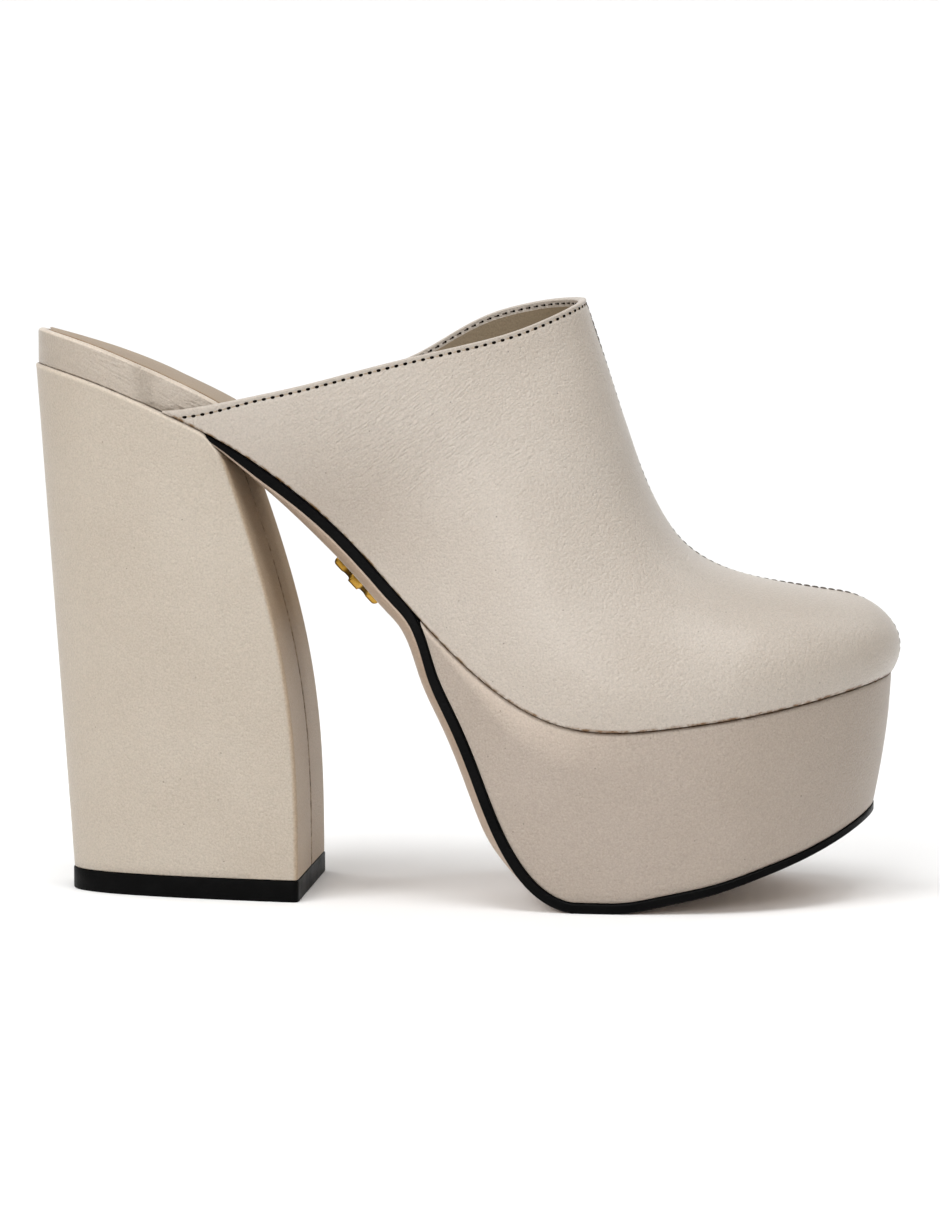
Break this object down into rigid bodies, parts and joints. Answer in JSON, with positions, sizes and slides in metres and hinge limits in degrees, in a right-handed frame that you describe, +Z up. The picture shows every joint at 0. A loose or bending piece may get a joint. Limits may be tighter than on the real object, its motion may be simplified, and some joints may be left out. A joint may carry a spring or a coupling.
{
  "type": "platform mule",
  "caption": "Closed-toe backless platform shoe with a tall block heel, a leather-covered forefoot platform and a high stitched vamp",
  "frame": {"origin": "the middle of the shoe's bounding box in plan, on the floor", "axes": "+X from heel to toe, +Y to the inner side of the foot, +Z up"},
  "size_m": [0.2228, 0.0878, 0.1525],
  "materials": {
    "upper_leather": "smooth pebbled cream leather, satin",
    "wrap_leather": "the same cream leather, wrapped over heel, platform and insole edge",
    "lining": "matt tan lining leather",
    "sole": "black painted edge, beige underside",
    "rubber": "black matt rubber",
    "bar_metal": "polished gold-coloured plating"
  },
  "bodies": {
    "root": {"upper": "upper_leather", "insole": "wrap_leather", "sock": "lining", "platform": "wrap_leather", "outsole": "sole", "heel": "wrap_leather", "heel_lift": "rubber", "sole_bar": "bar_metal"}
  },
  "joints": []
}
